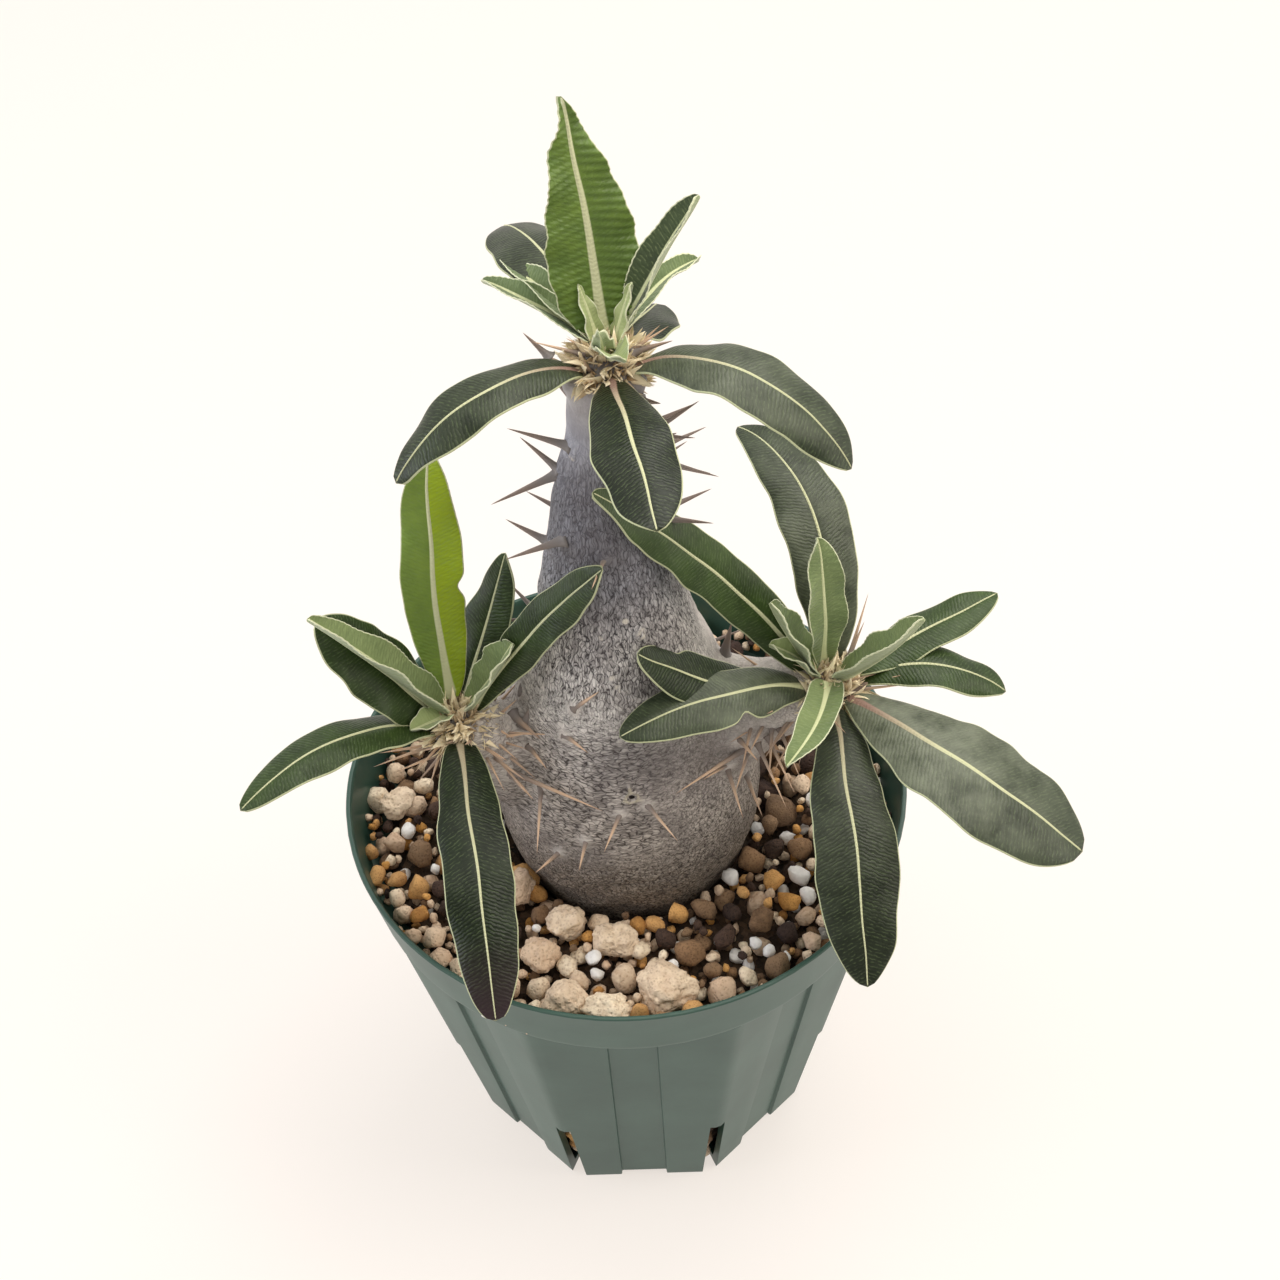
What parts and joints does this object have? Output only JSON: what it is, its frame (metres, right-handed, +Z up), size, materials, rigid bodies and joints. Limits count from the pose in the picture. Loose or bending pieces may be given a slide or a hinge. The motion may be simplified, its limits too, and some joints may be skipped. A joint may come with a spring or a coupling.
{
  "type": "potted pachypodium cactipes",
  "caption": "Succulent plant with a swollen grey stem base, a tapering spiny neck and branches ending in heads of long green leaves, in a green slit pot filled with gritty potting mix.",
  "frame": {"origin": "centre of the pot's foot, on the plane that the pot stands on", "axes": "+Z up through the pot and the stem, -Y towards the front from which the plant shows all three heads, +X to the right"},
  "size_m": [0.1604, 0.129, 0.2656],
  "materials": {
    "pot_plastic": "satin",
    "potting_mix": "matte",
    "bark": "matte",
    "leaf": "satin",
    "young_leaf": "matte",
    "pumice": "matte"
  },
  "bodies": {
    "root": {"pot": "pot_plastic", "potting_mix": "potting_mix", "caudex": "bark", "top_leaf_01": "leaf", "top_leaf_02": "leaf", "top_leaf_03": "leaf", "top_leaf_04": "leaf", "top_leaf_05": "young_leaf", "top_leaf_06": "young_leaf", "top_leaf_07": "young_leaf", "top_leaf_08": "young_leaf", "top_leaf_09": "leaf", "top_leaf_10": "leaf", "top_leaf_11": "leaf", "top_leaf_12": "young_leaf", "top_leaf_13": "young_leaf", "top_leaf_14": "young_leaf", "top_leaf_15": "young_leaf", "left_leaf_01": "leaf", "left_leaf_02": "leaf", "left_leaf_03": "leaf", "left_leaf_04": "young_leaf", "left_leaf_05": "leaf", "left_leaf_06": "leaf", "left_leaf_07": "leaf", "left_leaf_08": "young_leaf", "left_leaf_09": "young_leaf", "right_leaf_01": "leaf", "right_leaf_02": "leaf", "right_leaf_03": "young_leaf", "right_leaf_04": "young_leaf", "right_leaf_05": "young_leaf", "right_leaf_06": "leaf", "right_leaf_07": "leaf", "right_leaf_08": "young_leaf", "right_leaf_09": "leaf", "right_leaf_10": "leaf", "right_leaf_11": "leaf", "right_leaf_12": "leaf", "right_leaf_13": "young_leaf", "pumice_stone_1": "pumice", "pumice_stone_2": "pumice", "pumice_stone_3": "pumice", "pumice_stone_4": "pumice", "pumice_stone_5": "pumice", "pumice_stone_6": "pumice", "pumice_stone_7": "pumice", "pumice_stone_8": "pumice"}
  },
  "joints": []
}
